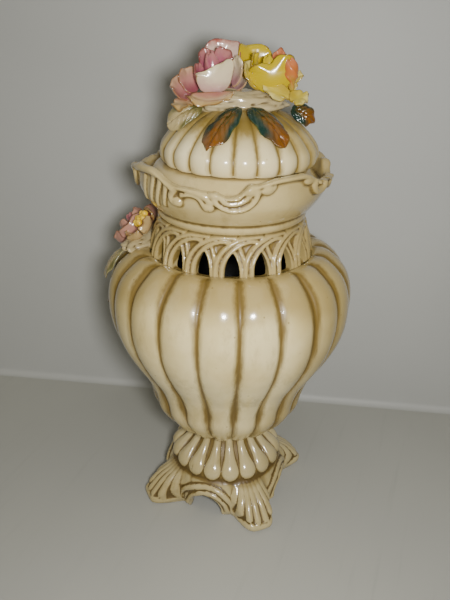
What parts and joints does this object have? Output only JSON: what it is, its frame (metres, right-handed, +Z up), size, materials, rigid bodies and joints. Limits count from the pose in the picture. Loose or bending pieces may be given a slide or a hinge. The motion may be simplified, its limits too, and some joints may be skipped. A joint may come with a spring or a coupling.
{
  "type": "flower-encrusted lidded vase",
  "caption": "Lidded potpourri vase in cream glazed pottery: lobed bowl on a square scrolled foot, pierced neck, waved collar, and a loose domed lid topped with modelled roses.",
  "frame": {"origin": "On the vase's vertical axis, at the table: the plane of the undersides of the foot's four toes.", "axes": "+Z up. -Y is the front, where the flower spray sits on the shoulder. The foot's sides face along X and Y."},
  "size_m": [0.1678, 0.1712, 0.3296],
  "materials": {
    "blush_glaze": "glossy blush to tan glaze",
    "cream_glaze": "glossy cream glaze over a brown wash in the hollows",
    "glazed_clay": "glossy beige glaze",
    "leaf_glaze": "glossy green glaze with orange-brown veins",
    "lemon_glaze": "glossy lemon to cream glaze",
    "orange_glaze": "glossy orange glaze",
    "pale_glaze": "glossy pale cream glaze over a brown wash in the hollows",
    "pink_glaze": "glossy pink glaze",
    "rose_glaze": "glossy deep rose glaze",
    "stamen_glaze": "glossy yellow glaze in a maroon cup",
    "yellow_glaze": "glossy bright yellow glaze"
  },
  "bodies": {
    "vase": {"front_bud": "orange_glaze", "front_leaf_left": "leaf_glaze", "front_leaf_low_left": "leaf_glaze", "front_leaf_low_right": "leaf_glaze", "front_leaf_right": "leaf_glaze", "front_rose_heart": "rose_glaze", "front_rose_inner_1": "pink_glaze", "front_rose_inner_2": "pink_glaze", "front_rose_inner_3": "pink_glaze", "front_rose_outer_1": "blush_glaze", "front_rose_outer_2": "blush_glaze", "front_rose_outer_3": "blush_glaze", "front_rose_outer_4": "blush_glaze", "front_rose_outer_5": "blush_glaze", "melon_bowl": "cream_glaze", "open_flower_petal_1": "blush_glaze", "open_flower_petal_2": "blush_glaze", "open_flower_petal_3": "blush_glaze", "open_flower_petal_4": "blush_glaze", "open_flower_petal_5": "blush_glaze", "open_flower_stamens": "stamen_glaze", "pedestal_foot": "cream_glaze", "pierced_neck": "cream_glaze", "scroll_collar": "cream_glaze", "spray_base": "glazed_clay"},
    "lid": {"bouquet_base": "glazed_clay", "leaf_back_left": "leaf_glaze", "leaf_back_right": "leaf_glaze", "leaf_front_left": "leaf_glaze", "leaf_front_right": "leaf_glaze", "leaf_left": "leaf_glaze", "leaf_right": "leaf_glaze", "lid_dome": "pale_glaze", "lid_locating_ring": "pale_glaze", "orange_bud": "orange_glaze", "pink_rose_back": "pink_glaze", "pink_rose_back_left": "pink_glaze", "pink_rose_front": "pink_glaze", "pink_rose_heart": "rose_glaze", "pink_rose_inner_back": "rose_glaze", "pink_rose_inner_left": "rose_glaze", "pink_rose_inner_right": "rose_glaze", "pink_rose_left": "pink_glaze", "pink_rose_outer_back": "blush_glaze", "pink_rose_outer_front": "blush_glaze", "pink_rose_outer_left": "blush_glaze", "pink_rose_outer_right": "blush_glaze", "pink_rose_right": "pink_glaze", "yellow_rose_back": "yellow_glaze", "yellow_rose_back_right": "yellow_glaze", "yellow_rose_front": "yellow_glaze", "yellow_rose_heart": "yellow_glaze", "yellow_rose_inner_left": "yellow_glaze", "yellow_rose_inner_right": "yellow_glaze", "yellow_rose_left": "yellow_glaze", "yellow_rose_outer_back": "lemon_glaze", "yellow_rose_outer_front": "lemon_glaze", "yellow_rose_outer_left": "lemon_glaze", "yellow_rose_outer_right": "lemon_glaze"}
  },
  "joints": [
    {"name": "lid_lift", "type": "slide", "parent": "vase", "child": "lid", "axis": [0, 0, 1], "range_m": [0, 0.1]}
  ]
}
